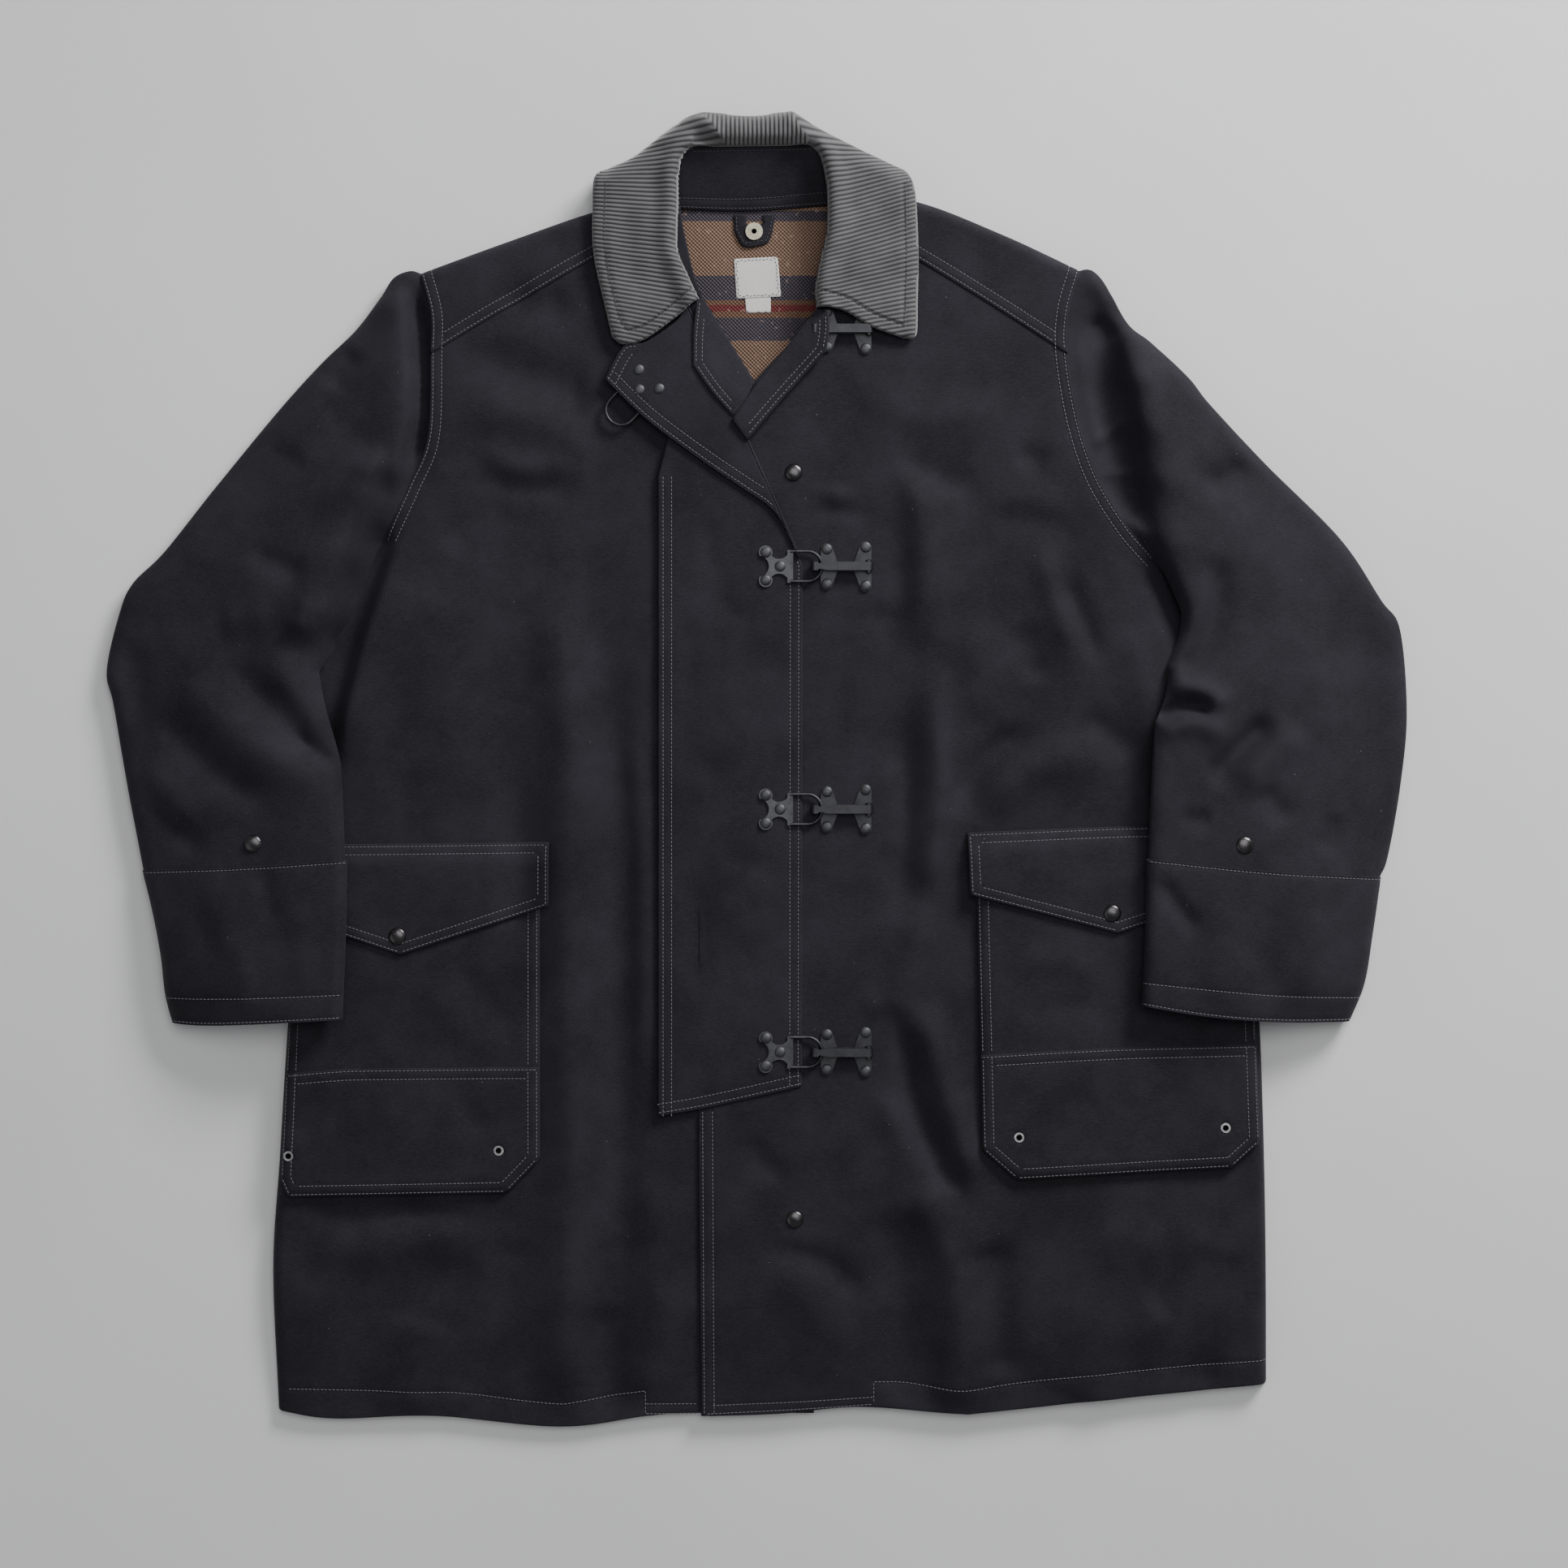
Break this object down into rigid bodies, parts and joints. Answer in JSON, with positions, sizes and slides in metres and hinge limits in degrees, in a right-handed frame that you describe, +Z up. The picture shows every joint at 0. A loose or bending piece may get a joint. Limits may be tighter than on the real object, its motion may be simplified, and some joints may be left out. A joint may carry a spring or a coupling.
{
  "type": "turnout coat",
  "caption": "Hip-length canvas turnout coat lying closed on its back, with corduroy collar, storm flap, hook-and-dee clasps and bellows pockets.",
  "frame": {"origin": "centre of the coat's outline on the surface that it lies on", "axes": "+Z up from the back panel to the fronts, +Y towards the collar, +X towards the wearer's left side"},
  "size_m": [0.958, 0.9682, 0.0388],
  "materials": {
    "duck_canvas": "waxed-look cotton duck canvas, near-black navy",
    "blanket_lining": "striped wool blanket weave in tan, brown and blue-grey",
    "corduroy": "grey cotton corduroy",
    "label_cloth": "woven satin tape",
    "clasp_metal": "matt gunmetal black over steel",
    "spring_steel": "blued spring steel",
    "rivet_metal": "gunmetal black rivets, rubbed brighter on the heads",
    "snap_metal": "glossy dark gunmetal",
    "snap_ring": "nickel-plated brass",
    "eyelet_metal": "nickel-plated, slightly worn"
  },
  "bodies": {
    "root": {"back_panel": "duck_canvas", "right_front_panel": "duck_canvas", "left_front_panel": "duck_canvas", "right_shoulder_yoke": "duck_canvas", "left_shoulder_yoke": "duck_canvas", "storm_flap": "duck_canvas", "right_throat_facing": "duck_canvas", "left_throat_facing": "duck_canvas", "collar_stand": "duck_canvas", "right_sleeve": "duck_canvas", "left_sleeve": "duck_canvas", "right_cuff": "duck_canvas", "left_cuff": "duck_canvas", "right_pocket": "duck_canvas", "left_pocket": "duck_canvas", "right_pocket_reinforcement": "duck_canvas", "left_pocket_reinforcement": "duck_canvas", "right_pocket_flap": "duck_canvas", "left_pocket_flap": "duck_canvas", "back_lining": "blanket_lining", "right_front_lining": "blanket_lining", "left_front_lining": "blanket_lining", "collar": "corduroy", "neck_label": "label_cloth", "size_tab": "label_cloth", "dee_rivets": "rivet_metal", "hook_rivets": "rivet_metal", "front_snap_caps": "snap_metal", "sleeve_snaps": "snap_metal", "pocket_snap_caps": "snap_metal", "front_snap_studs": "snap_metal", "pocket_snap_studs": "snap_metal", "pocket_eyelets": "eyelet_metal", "dee_plate_1": "clasp_metal", "hook_base_1": "clasp_metal", "hook_pin_1": "clasp_metal", "hook_spring_1": "spring_steel", "dee_plate_2": "clasp_metal", "hook_base_2": "clasp_metal", "hook_pin_2": "clasp_metal", "hook_spring_2": "spring_steel", "dee_plate_3": "clasp_metal", "hook_base_3": "clasp_metal", "hook_pin_3": "clasp_metal", "hook_spring_3": "spring_steel", "hook_base_4": "clasp_metal", "hook_pin_4": "clasp_metal", "hook_spring_4": "spring_steel"},
    "throat_corner": {"storm_flap_corner": "duck_canvas", "dee_plate_4": "clasp_metal", "throat_dee_rivets": "rivet_metal"},
    "hanger": {"hanger_tab": "duck_canvas", "hanger_snap": "snap_ring"},
    "lever_1": {"hook_lever_1": "clasp_metal"},
    "lever_2": {"hook_lever_2": "clasp_metal"},
    "lever_3": {"hook_lever_3": "clasp_metal"},
    "lever_4": {"hook_lever_4": "clasp_metal"}
  },
  "joints": [
    {"name": "upper_clasp_lever", "type": "hinge", "parent": "root", "child": "lever_1", "pos_m": [0.0825, 0.149, 0.0212], "axis": [0, 1, 0], "range_deg": [0, 95], "stiffness_Nm_per_rad": 0.004},
    {"name": "middle_clasp_lever", "type": "hinge", "parent": "root", "child": "lever_2", "pos_m": [0.0825, -0.029, 0.0212], "axis": [0, 1, 0], "range_deg": [0, 95], "stiffness_Nm_per_rad": 0.004},
    {"name": "lower_clasp_lever", "type": "hinge", "parent": "root", "child": "lever_3", "pos_m": [0.0825, -0.207, 0.0212], "axis": [0, 1, 0], "range_deg": [0, 95], "stiffness_Nm_per_rad": 0.004},
    {"name": "throat_clasp_lever", "type": "hinge", "parent": "root", "child": "lever_4", "pos_m": [0.0825, 0.323, 0.0212], "axis": [0, 1, 0], "range_deg": [0, 95], "stiffness_Nm_per_rad": 0.004},
    {"name": "throat_corner_fold", "type": "hinge", "parent": "root", "child": "throat_corner", "pos_m": [0.028, 0.157, 0.01895], "axis": [-0.3987, 0.9171, 0], "range_deg": [0, 160]},
    {"name": "hanger_tab_hinge", "type": "hinge", "parent": "root", "child": "hanger", "pos_m": [0, 0.409, 0.0039], "axis": [-1, 0, 0], "range_deg": [0, 80]}
  ]
}
